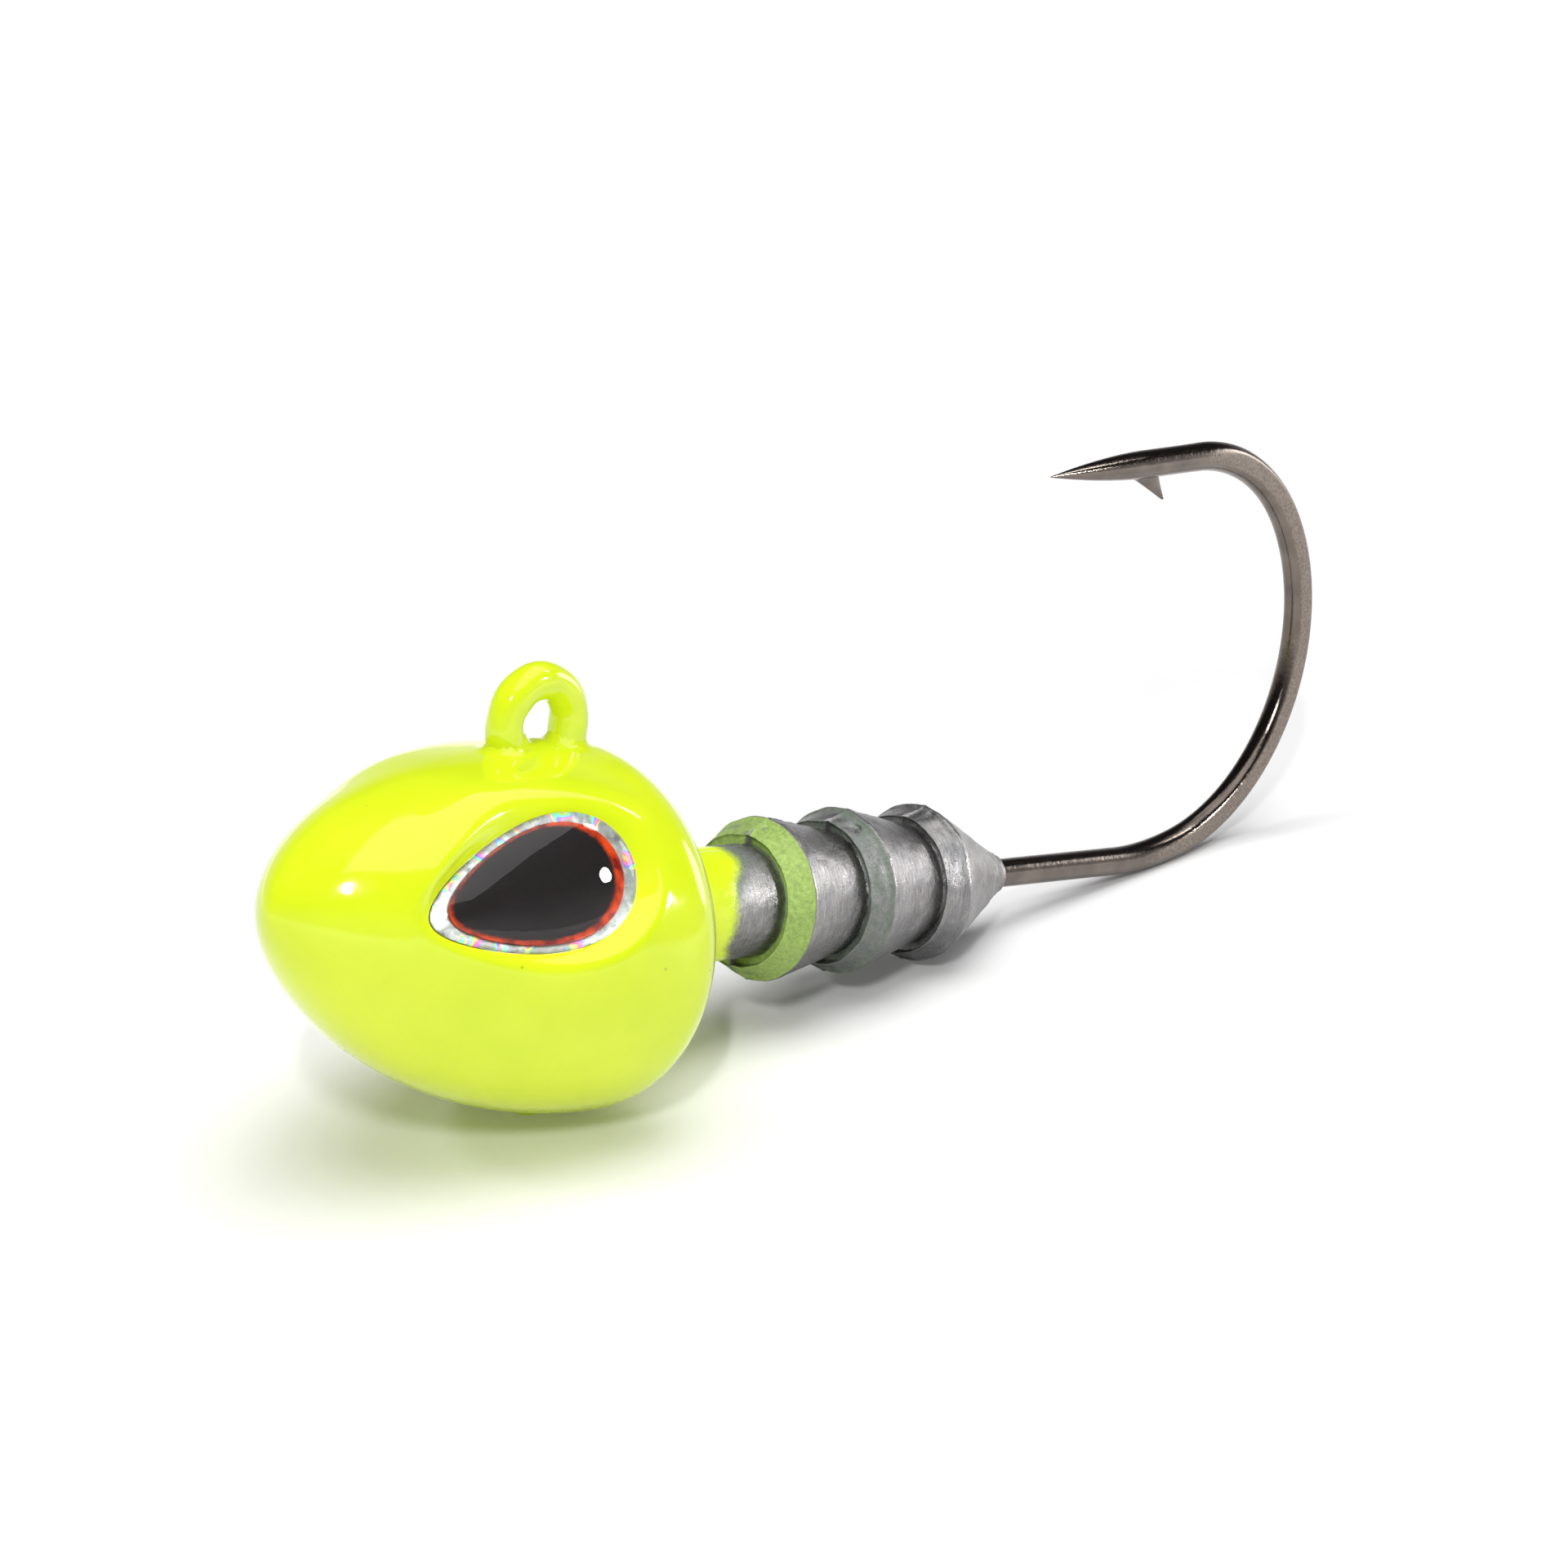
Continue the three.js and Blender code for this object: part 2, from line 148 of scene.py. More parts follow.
# ---- The shank frame, from the face that a soft bait stops against ----
mounts = {mount["name"]: mount for mount in frame["record"]["mounts"]}
stop_face = mounts["bait_stop_face"]
shank_axis = Vector(stop_face["axis"]).normalized()
side_axis = Vector((0, 1, 0))
up_axis = shank_axis.cross(side_axis)
origin = Vector(stop_face["pos_m"]) - shank_axis * REAR_FACE_X * MM
origin.y = 0
SHANK_AXES = np.array([shank_axis, side_axis, up_axis])
TILT = math.atan2(-shank_axis.z, shank_axis.x)


def to_part(points):
    return np.array(origin) + MM * np.asarray(points, float) @ SHANK_AXES


# ---- Small helpers ----
def smoothstep(value, low, high):
    share = np.clip((value - low) / (high - low), 0, 1)
    return share * share * (3 - 2 * share)


def lerp(start, end, share):
    return start + (end - start) * share


def smooth_min(value, limit, width):
    share = np.clip(0.5 + 0.5 * (limit - value) / width, 0, 1)
    return lerp(limit, value, share) - width * share * (1 - share)


def fillet_height(distance, radius):
    """Height of a concave fillet at a distance from the wall that it climbs."""
    inside = np.clip(radius - distance, 0, radius)
    return radius - np.sqrt(radius ** 2 - inside ** 2)


def skin(name, rows):
    """A closed mesh through rows of points. A row of one point is a pole."""
    vertices = []
    loops = []
    for row in rows:
        row = np.atleast_2d(row)
        loops.append(range(len(vertices), len(vertices) + len(row)))
        vertices.extend(row)
    faces = []
    for low, high in zip(loops, loops[1:]):
        count = max(len(low), len(high))
        for i in range(count):
            j = (i + 1) % count
            corners = [low[i % len(low)], low[j % len(low)], high[j % len(high)], high[i % len(high)]]
            faces.append(list(dict.fromkeys(corners)))
    mesh = bpy.data.meshes.new(name)
    mesh.from_pydata(to_part(vertices).tolist(), [], faces)
    tidy = bmesh.new()
    tidy.from_mesh(mesh)
    bmesh.ops.recalc_face_normals(tidy, faces=tidy.faces)
    tidy.to_mesh(mesh)
    tidy.free()
    mesh.shade_smooth()
    piece = bpy.data.objects.new(name, mesh)
    bpy.context.scene.collection.objects.link(piece)
    return piece


def apply_boolean(piece, tool, operation):
    cut = piece.modifiers.new(operation.lower(), "BOOLEAN")
    cut.operation = operation
    cut.solver = "EXACT"
    cut.object = tool
    evaluated = piece.evaluated_get(bpy.context.evaluated_depsgraph_get())
    mesh = bpy.data.meshes.new_from_object(evaluated)
    piece.modifiers.clear()
    piece.data = mesh
    bpy.data.objects.remove(tool)


def sharpen(piece, degrees):
    """Marks edges sharper than an angle, and leaves the rest smooth."""
    mesh = piece.data
    edit = bmesh.new()
    edit.from_mesh(mesh)
    limit = math.radians(degrees)
    for edge in edit.edges:
        edge.smooth = edge.calc_face_angle(0) < limit
    edit.to_mesh(mesh)
    edit.free()
    mesh.shade_smooth()


def set_attribute(piece, name, values):
    attribute = piece.data.attributes.new(name, "FLOAT", "POINT")
    attribute.data.foreach_set("value", np.asarray(values, np.float32))


def finish_piece(piece, node, material):
    piece.data.materials.clear()
    piece.data.materials.append(material)
    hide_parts(node)
    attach(piece, "root")


# ---- Hook wire: a route of straights and arcs in the plane of the hook ----
def walk(start, heading_degrees, route):
    """Follows (length, turn in radians, steps) stretches; returns x, z, heading and travel."""
    x, z = start
    heading = math.radians(heading_degrees)
    travelled = 0.0
    stations = [(x, z, heading, travelled)]
    for length, turn, steps in route:
        step = length / steps
        bend = turn / steps
        chord = step * (math.sin(bend / 2) / (bend / 2) if bend else 1)
        for _ in range(steps):
            x += chord * math.cos(heading + bend / 2)
            z += chord * math.sin(heading + bend / 2)
            heading += bend
            travelled += step
            stations.append((x, z, heading, travelled))
    return np.array(stations)


def arc(radius, degrees, step=2.0):
    return (radius * math.radians(abs(degrees)), math.radians(degrees), math.ceil(abs(degrees) / step))


def straight(length, step=0.5):
    return (length, 0.0, math.ceil(length / step))


def on_ring(degrees):
    angle = math.radians(degrees)
    x, z = RING_CENTRE
    return (x + RING_RADIUS * math.cos(angle), z + RING_RADIUS * math.sin(angle))


def length_of(route):
    return sum(stretch[0] for stretch in route)


leg_bend_end_x = RING_CENTRE[0] + RING_RADIUS + LEG_BEND_RADIUS
cast_in_route = [
    arc(RING_RADIUS, -RING_WRAP, 6),
    straight(RING_CENTRE[1] - LEG_BEND_RADIUS),
    arc(LEG_BEND_RADIUS, 90, 6),
    straight(BEND_START_X - leg_bend_end_x),
]
bend_route = [arc(*HEEL, 0.8), arc(*BACK), arc(*CROWN)]
point_route = [straight(POINT_LEG_LENGTH - NEEDLE_LENGTH, 0.3), straight(NEEDLE_LENGTH, 0.15)]
hook_stations = walk(on_ring(RING_WRAP), RING_WRAP - 90, cast_in_route + bend_route + point_route)
bend_start = length_of(cast_in_route)
bend_end = bend_start + length_of(bend_route)
wire_end = bend_end + POINT_LEG_LENGTH


def forging(travelled):
    """0 where the wire is round and 1 where it is pressed flat."""
    into = smoothstep(travelled, bend_start, bend_start + HEEL[0] / 2)
    out_of = smoothstep(travelled, bend_end + FORGING_FADE[0], bend_end + FORGING_FADE[1])
    return into * (1 - out_of)


def wire_row(station, radius, forged=0.0, scale=1.0, sides=40):
    """A round section, or one with flats on both sides where it is forged."""
    x, z, heading, _ = station
    angles = np.linspace(0, 2 * math.pi, sides, endpoint=False)
    half_thickness = lerp(UNPRESSED, FORGED_THICKNESS, forged)
    sideways = np.cos(angles)
    pressed = np.sign(sideways) * smooth_min(np.abs(sideways), half_thickness, FORGED_EDGE_ROUNDING)
    across = radius * scale * lerp(1, FORGED_DEPTH, forged) * np.sin(angles)
    return np.stack([
        x - across * math.sin(heading),
        radius * scale * pressed,
        z + across * math.cos(heading),
    ], axis=1)


def pole(station):
    return np.array([station[0], 0.0, station[1]])


def build_barb(tip):
    x, z, heading, _ = tip
    rows = []
    steps = 12
    for i in range(steps + 1):
        share = i / steps
        front = lerp(BARB_FRONT, BARB_TIP - BARB_TIP_LENGTH, share ** 0.85)
        rear = lerp(BARB_REAR, BARB_TIP, share ** 1.3)
        inner = lerp(0.25, BARB_REACH - 0.1, share)
        half_thickness = lerp(BARB_THICKNESS, BARB_TIP_THICKNESS, share) / 2
        row = []
        for angle in np.linspace(0, 2 * math.pi, 16, endpoint=False):
            back = (front + rear) / 2 + (rear - front) / 2 * math.cos(angle)
            side = half_thickness * math.copysign(abs(math.sin(angle)) ** 0.6, math.sin(angle))
            row.append((
                x - back * math.cos(heading) - inner * math.sin(heading),
                side,
                z - back * math.sin(heading) + inner * math.cos(heading),
            ))
        rows.append(np.array(row))
    start = rows[0].mean(axis=0)
    end = rows[-1].mean(axis=0)
    end = end + (end - start) / np.linalg.norm(end - start) * 0.08
    return skin("barb", [start] + rows + [end])


def build_hook():
    rows = [pole(hook_stations[0])]
    for station in hook_stations[:-1]:
        to_tip = np.clip((wire_end - station[3]) / NEEDLE_LENGTH, 0, 1)
        needle = lerp(NEEDLE_TIP_SCALE, 1, 1 - (1 - to_tip) ** NEEDLE_FULLNESS)
        rows.append(wire_row(station, WIRE_RADIUS, forging(station[3]), needle))
    rows.append(pole(hook_stations[-1]))
    hook = skin("hook_wire", rows)
    apply_boolean(hook, build_barb(hook_stations[-1]), "UNION")
    sharpen(hook, 60)
    return hook


# ---- Eyes ----
def eye_axes(side):
    """The eye's own axes as rows: along the teardrop to its round end, up, and out."""
    forward = math.radians(EYE_FORWARD)
    upward = math.radians(EYE_UPWARD)
    out = Vector((
        -math.sin(forward) * math.cos(upward),
        side * math.cos(forward) * math.cos(upward),
        math.sin(upward),
    ))
    level = (Vector((1, 0, 0)) - out * out.x).normalized()
    along = Matrix.Rotation(-side * math.radians(EYE_ROLL), 3, out) @ level
    up = out.cross(along) * -side
    return np.array([along, up, out])


def eye_centre(side):
    x, y, z = EYE_CENTRE
    return np.array([x, side * y, z])


def to_eye(points, side):
    return (points - eye_centre(side)) @ eye_axes(side).T


def from_eye(points, side):
    return eye_centre(side) + points @ eye_axes(side)


def teardrop(angle):
    def width(a):
        return np.sin(a) * (1 - EYE_TAPER * np.cos(a))

    widest = math.acos((1 - math.sqrt(1 + 8 * EYE_TAPER ** 2)) / (4 * EYE_TAPER))
    x = -(EYE_LENGTH / 2) * np.cos(angle)
    y = (EYE_HEIGHT / 2) * width(angle) / width(widest)
    return x, y


def eye_reach(x, y):
    """Share of the way from the eye's middle to its outline, and the outline's distance."""
    outline_x, outline_y = teardrop(np.linspace(0, 2 * math.pi, 721))
    outline_x = outline_x - EYE_MIDDLE
    turn = np.arctan2(outline_y, outline_x)
    order = np.argsort(turn)
    radius = np.hypot(outline_x, outline_y)[order]
    at = np.arctan2(y, x - EYE_MIDDLE)
    edge = np.interp(at, turn[order], radius, period=2 * math.pi)
    return np.hypot(x - EYE_MIDDLE, y) / edge, edge


def teardrop_rows(profile, side, columns=120):
    """Rows of a teardrop-shaped body through (scale of the outline, height) pairs."""
    edge_x, edge_y = teardrop(np.linspace(0, 2 * math.pi, columns, endpoint=False))
    rows = []
    for scale, height in profile:
        if scale == 0:
            rows.append(from_eye(np.array([EYE_MIDDLE, 0, height]), side))
            continue
        x = EYE_MIDDLE + (edge_x - EYE_MIDDLE) * scale
        row = np.stack([x, edge_y * scale, np.full(columns, height)], axis=1)
        rows.append(from_eye(row, side))
    return rows


def slab_profile(scale, bottom, top, rings=12):
    """A flat body whose faces have rings enough to carry a printed pattern."""
    shares = np.linspace(0, scale, rings + 1)
    return [(s, bottom) for s in shares] + [(s, top) for s in shares[::-1]]


def dome_profile(outline, bottom, rim, height, steps=18):
    profile = [(0, bottom), (outline, bottom)]
    for angle in np.linspace(0, math.pi / 2, steps):
        scale = 0 if angle == math.pi / 2 else outline * math.cos(angle)
        profile.append((scale, bottom + rim + (height - rim) * math.sin(angle)))
    return profile


# ---- Head ----
def taper(along, fullness, roundness):
    return np.maximum(0, 1 - along ** fullness) ** (1 / roundness)


def head_row(station, around):
    """Points round the head. The station runs from -1 at the nose to 1 at the rear."""
    sideways = np.sin(around)
    upwards = np.cos(around)
    along = abs(station)
    above = TOP_HEIGHT - BODY_CENTRE_Z
    below = BELLY_DEPTH + BODY_CENTRE_Z
    half_height = np.where(upwards > 0, above, below)
    if station < 0:
        top = taper(along, TOP_FULLNESS, NOSE_ROUNDNESS)
        belly = taper(along, BELLY_FULLNESS, NOSE_ROUNDNESS)
        height = half_height * np.where(upwards > 0, top, belly)
        width = HALF_WIDTH * taper(along, SIDE_FULLNESS, NOSE_ROUNDNESS)
        centre = lerp(BODY_CENTRE_Z, NOSE_CENTRE_Z, along ** 2)
        x = WIDEST_X - NOSE_LENGTH * along
    else:
        girth = taper(along, REAR_FULLNESS, 2)
        height = half_height * girth
        width = HALF_WIDTH * girth
        centre = BODY_CENTRE_Z
        x = smooth_min(WIDEST_X + REAR_LENGTH * along, REAR_FACE_X, REAR_EDGE_ROUNDING)
    return np.stack([np.full(len(around), x), width * sideways, centre + height * upwards], axis=1)


def raise_brow_and_dish(points):
    """Raises the brow over each eye and sinks a dish for the eye to lie in."""
    for side in (-1, 1):
        chosen = points[:, 1] * side > 0
        local = to_eye(points[chosen], side)
        ridge = np.hypot(
            local[:, 0] / (EYE_LENGTH / 2 + BROW_MARGIN),
            local[:, 1] / (EYE_HEIGHT / 2 + BROW_MARGIN),
        )
        over_eye = smoothstep(local[:, 1], -1, EYE_HEIGHT / 2)
        over_eye = over_eye * smoothstep(local[:, 0], *BROW_FADE)
        local[:, 2] += BROW_HEIGHT * np.exp(-(((ridge - 1) / BROW_SPREAD) ** 2)) * over_eye
        reach, edge = eye_reach(local[:, 0], local[:, 1])
        outside = (reach - 1) * edge
        behind = smoothstep(local[:, 0], -4, 4)
        share = smoothstep(outside, 0, lerp(DISH_FRONT_WIDTH, DISH_REAR_WIDTH, behind))
        facing = smoothstep(local[:, 2], -6, -4)
        dished = lerp(DISH_RIM, local[:, 2], share)
        local[:, 2] = lerp(local[:, 2], dished, facing)
        points[chosen] = from_eye(local, side)
    return points


def run_paint_into_corners(points):
    """Fillets of paint round the feet of the line tie and round the neck."""
    tie = hook_stations[hook_stations[:, 3] < length_of(cast_in_route[:2])]
    tie = tie[tie[:, 1] > TOP_HEIGHT]
    centreline = np.stack([tie[:, 0], np.zeros(len(tie)), tie[:, 1]], axis=1)
    near_tie = points[:, 2] > TIE_REGION_Z
    mound_x, mound_height, mound_length, mound_width = TIE_MOUND
    along = (points[near_tie, 0] - mound_x) / mound_length
    across = points[near_tie, 1] / mound_width
    points[near_tie, 2] += mound_height * np.exp(-(along ** 2 + across ** 2))
    gaps = points[near_tie, None, :] - centreline[None, :, :]
    distance = np.linalg.norm(gaps, axis=2).min(axis=1) - (WIRE_RADIUS + PAINT_THICKNESS)
    points[near_tie, 2] += fillet_height(distance, TIE_FILLET)
    behind = points[:, 0] > REAR_FACE_X - 0.3
    from_neck = np.hypot(points[behind, 1], points[behind, 2]) - NECK_RADIUS
    points[behind, 0] += fillet_height(from_neck, NECK_FILLET)
    return points


def build_head():
    around = np.linspace(0, 2 * math.pi, HEAD_COLUMNS, endpoint=False)
    rows = []
    for angle in np.linspace(0, math.pi, HEAD_ROWS + 2)[1:-1]:
        rows.append(head_row(-math.cos(angle), around))
    shape = run_paint_into_corners(raise_brow_and_dish(np.concatenate(rows)))
    rows = list(shape.reshape(len(rows), len(around), 3))
    nose = np.array([WIDEST_X - NOSE_LENGTH, 0, NOSE_CENTRE_Z])
    inside_neck = np.array([REAR_FACE_X + NECK_FILLET, 0, BODY_CENTRE_Z])
    head = skin("head_skin", [nose] + rows + [inside_neck])
    for side in (-1, 1):
        pocket = [
            (0, SOCKET_FLOOR),
            (SOCKET_SCALE, SOCKET_FLOOR),
            (SOCKET_SCALE, SOCKET_OPENING),
            (0, SOCKET_OPENING),
        ]
        apply_boolean(head, skin("pocket", teardrop_rows(pocket, side)), "DIFFERENCE")
    apply_boolean(head, build_gate(), "UNION")
    sharpen(head, 50)
    return head


def build_gate():
    """The clipped casting gate, its flat on the floor that the hook's bend also touches."""
    gate_face = Vector(mounts["belly_gate_flat"]["pos_m"])
    angles = np.linspace(0, 2 * math.pi, 48, endpoint=False)
    floor_z = (gate_face - origin).dot(up_axis) / MM
    floor_x = (gate_face - origin).dot(shank_axis) / MM
    rows = []
    for lift, scale in ((0, 0.93), (0.08, 0.98), (0.2, 1.0), (0.9, 1.12), (GATE_HEIGHT, 1.5)):
        along = scale * GATE_LENGTH / 2 * np.cos(angles)
        x = floor_x + along * math.cos(TILT) - lift * math.sin(TILT)
        z = floor_z + along * math.sin(TILT) + lift * math.cos(TILT)
        rows.append(np.stack([x, scale * GATE_WIDTH / 2 * np.sin(angles), z], axis=1))
    return skin("gate", [rows[0].mean(axis=0)] + rows + [rows[-1].mean(axis=0)])


def build_line_tie():
    tie = hook_stations[hook_stations[:, 3] < length_of(cast_in_route[:2]) - 3]
    rows = [pole(tie[0])]
    for station in tie:
        sag = 0.03 * math.sin(3 * station[2]) + 0.02 * math.sin(7 * station[2] + 1)
        rows.append(wire_row(station, WIRE_RADIUS + PAINT_THICKNESS + sag))
    rows.append(pole(tie[-1]))
    return skin("line_tie_paint", rows)


# ---- Bait keeper ----
def keeper_profile(step, groove):
    """Half outline as (x, radius). The step moves the front faces of the barbs to the head."""
    outline = [(REAR_FACE_X + 0.03, NECK_RADIUS)]
    for x, radius, root in BARB_RINGS:
        face_x = x - RING_LEAN - step
        outline += [
            (face_x + groove - 0.12, root),
            (face_x + groove, root + 0.08),
            (face_x + groove, root + 0.4),
            (face_x + 0.1, root + 0.46),
            (face_x + 0.02, root + 0.52),
            (x - 0.22, radius - 0.2),
            (x - 0.1, radius - 0.07),
            (x + 0.02, radius - 0.03),
            (x + 0.2, radius - 0.06),
        ]
    cone_x, cone_radius = CONE_END
    outline += [(cone_x - 0.5, cone_radius + 0.13), (cone_x - 0.1, cone_radius), (cone_x, 0.9)]
    return np.array(outline)


def fill_in(outline, spacing):
    """Adds points along the longer stretches of an outline."""
    near, far = outline
    filled = [np.stack([near[0], far[0]])]
    for i in range(1, len(near)):
        count = max(1, math.ceil(np.linalg.norm(near[i] - near[i - 1]) / spacing))
        for share in np.arange(1, count + 1) / count:
            on_near = lerp(near[i - 1], near[i], share)
            on_far = lerp(far[i - 1], far[i], share)
            filled.append(np.stack([on_near, on_far]))
    return np.array(filled)


def sink_pits(row):
    """Presses the casting pits into the front edges of the barbs."""
    for ring, degrees, height, radius, depth in PITS:
        edge_x, edge_height, root = BARB_RINGS[ring]
        angle = math.radians(degrees)
        x = edge_x - RING_LEAN * (edge_height - height) / (edge_height - root)
        middle = np.array([x, height * math.sin(angle), height * math.cos(angle)])
        gap = np.linalg.norm(row - middle, axis=1)
        row[:, 0] += depth * np.exp(-((gap / radius) ** 2))
    return row


def build_keeper():
    outlines = (keeper_profile(0, NEAR_GROOVE), keeper_profile(PARTING_STEP, FAR_GROOVE))
    profile = fill_in(outlines, KEEPER_SPACING)
    angles = np.linspace(0, 2 * math.pi, KEEPER_COLUMNS, endpoint=False)
    seams = np.array([0, math.pi])
    extra = np.concatenate([seams + math.radians(offset) for offset in (-0.7, 0.7)]) % (2 * math.pi)
    angles = np.sort(np.concatenate([angles, extra]))
    sideways = np.sin(angles)
    far_half = smoothstep(sideways, -0.014, 0.014)
    rows = []
    for near, far in profile:
        x = lerp(near[0], far[0], far_half)
        radius = lerp(near[1], far[1], far_half)
        flash = 0.05 * np.exp(-(sideways / 0.02) ** 2)
        row = np.stack([x, (radius + flash) * sideways, (radius + flash) * np.cos(angles)], axis=1)
        for i, point in enumerate(row):
            bump = noise.noise(Vector(point) * 0.9) * 0.05
            bump += noise.noise(Vector(point) * 3.1) * 0.025
            row[i, 1:] *= 1 + bump / radius[i]
            row[i, 0] += 0.03 * noise.noise(Vector(point) * 2.2 + Vector((9, 4, 1)))
        rows.append(sink_pits(row))
    tail = np.array([CONE_END[0], 0, 0])
    front = np.array([REAR_FACE_X + 0.03, 0, 0])
    keeper = skin("keeper_casting", [front] + rows + [tail])
    tint_keeper(keeper)
    sharpen(keeper, 40)
    return keeper


def shank_points(piece):
    points = np.empty(len(piece.data.vertices) * 3)
    piece.data.vertices.foreach_get("co", points)
    return (points.reshape(-1, 3) - np.array(origin)) @ SHANK_AXES.T / MM


def tint_keeper(keeper):
    """Paint cover on the keeper: solid at the neck, and overspray on what faces the head. Also marks
    where it faces down, for painted shade there.
    """
    points = shank_points(keeper)
    normals = np.empty(len(keeper.data.vertices) * 3)
    keeper.data.vertices.foreach_get("normal", normals)
    normals = normals.reshape(-1, 3)
    facing_head = np.clip(-(normals @ np.array(shank_axis)), 0, 1)
    facing_down = -(normals @ np.array(up_axis))
    x = points[:, 0]
    upwards = points[:, 2] / np.maximum(0.1, np.hypot(points[:, 1], points[:, 2]))
    edge = PAINT_END_X + 1.2 * smoothstep(np.abs(upwards), 0.5, 0.95)
    solid = 1 - smoothstep(x, edge - 0.5, edge + 1.1)
    haze = np.exp(-np.maximum(0, x - edge) / lerp(0.3, 1.1, smoothstep(upwards, 0.1, 0.8)))
    faces = np.zeros(len(x))
    for (ring_x, _, _), cover in zip(BARB_RINGS, OVERSPRAY):
        here = (x > ring_x - RING_LEAN - PARTING_STEP - 0.3) & (x < ring_x + 0.05)
        faces = np.where(here, cover * smoothstep(facing_head, 0.15, 0.5), faces)
    set_attribute(keeper, "solid_paint", solid)
    set_attribute(keeper, "overspray", np.maximum(faces, haze))
    # Painted shade: the sides that face down are marked, for the lead to be darkened there.
    set_attribute(keeper, "downward_shade_mask", smoothstep(facing_down, -0.35, 0.75))


# ---- Materials ----
def new_material(name):
    material = bpy.data.materials.new(name)
    material.use_nodes = True
    tree = material.node_tree
    shader = tree.nodes["Principled BSDF"]
    return material, tree, shader


def add(tree, kind, inputs=None, **settings):
    node = tree.nodes.new(kind)
    for key, value in settings.items():
        setattr(node, key, value)
    for key, value in (inputs or {}).items():
        socket = node.inputs[key]
        if isinstance(value, bpy.types.NodeSocket):
            tree.links.new(value, socket)
        else:
            socket.default_value = value
    return node


def coordinates(tree, scale=(1, 1, 1), in_shank_frame=False):
    """Object coordinates in millimetres, turned to run along the shank if asked."""
    place = add(tree, "ShaderNodeTexCoord").outputs["Object"]
    turned = add(tree, "ShaderNodeMapping", {
        "Vector": place,
        "Rotation": (0, -TILT if in_shank_frame else 0, 0),
    })
    return add(tree, "ShaderNodeMapping", {
        "Vector": turned.outputs[0],
        "Scale": [s / MM for s in scale],
    }).outputs[0]


def noise_value(tree, vector, scale, detail=2.0, roughness=0.5):
    node = add(tree, "ShaderNodeTexNoise", {
        "Vector": vector, "Scale": scale, "Detail": detail, "Roughness": roughness,
    })
    return node.outputs["Fac"]


def ramp(tree, value, low, high, start=0.0, end=1.0):
    node = add(tree, "ShaderNodeMapRange", {
        "Value": value, "From Min": low, "From Max": high, "To Min": start, "To Max": end,
    }, clamp=True)
    return node.outputs["Result"]


def mix(tree, share, first, second):
    node = add(tree, "ShaderNodeMix", data_type="RGBA")
    for socket, value in zip((node.inputs[0], node.inputs[6], node.inputs[7]), (share, first, second)):
        if isinstance(value, bpy.types.NodeSocket):
            tree.links.new(value, socket)
        elif isinstance(value, (int, float)):
            socket.default_value = value
        else:
            socket.default_value = (*value, 1)
    return node.outputs[2]


def maths(tree, operation, first, second, clamp=False):
    node = add(tree, "ShaderNodeMath", {0: first, 1: second}, operation=operation, use_clamp=clamp)
    return node.outputs[0]


def bump(tree, shader, height, distance, strength=1.0):
    node = add(tree, "ShaderNodeBump", {
        "Height": height, "Distance": distance * MM, "Strength": strength,
    })
    tree.links.new(node.outputs[0], shader.inputs["Normal"])
    return node


def attribute_value(tree, name):
    return add(tree, "ShaderNodeAttribute", attribute_name=name).outputs["Fac"]


PAINT_BRIGHT = (0.66, 0.785, 0.016)
PAINT_DEEP = (0.6, 0.74, 0.011)


def paint_colour(tree, vector):
    """Fluorescent yellow-green, a little greener where the paint has pooled, with dust specks."""
    cloud = noise_value(tree, vector, 0.16, 3)
    colour = mix(tree, ramp(tree, cloud, 0.35, 0.65), PAINT_DEEP, PAINT_BRIGHT)
    specks = add(tree, "ShaderNodeTexVoronoi", {"Vector": vector, "Scale": 0.42})
    dust = ramp(tree, specks.outputs["Distance"], 0.02, 0.035, 0.75, 0)
    return mix(tree, dust, colour, (0.3, 0.36, 0.03))


def make_paint():
    material, tree, shader = new_material("chartreuse_paint")
    place = coordinates(tree)
    colour = paint_colour(tree, place)
    tree.links.new(colour, shader.inputs["Base Color"])
    tree.links.new(colour, shader.inputs["Emission Color"])
    # A faint painted glow: the paint is fluorescent, but this emission shines even with no light on it.
    shader.inputs["Emission Strength"].default_value = 0.06
    haze = noise_value(tree, place, 1.1, 4)
    tree.links.new(ramp(tree, haze, 0.3, 0.7, 0.06, 0.16), shader.inputs["Roughness"])
    shader.inputs["Coat Weight"].default_value = 0.35
    shader.inputs["Coat Roughness"].default_value = 0.02
    shader.inputs["IOR"].default_value = 1.46
    peel = noise_value(tree, place, 0.7, 2)
    bump(tree, shader, peel, 0.06, 0.25)
    return material


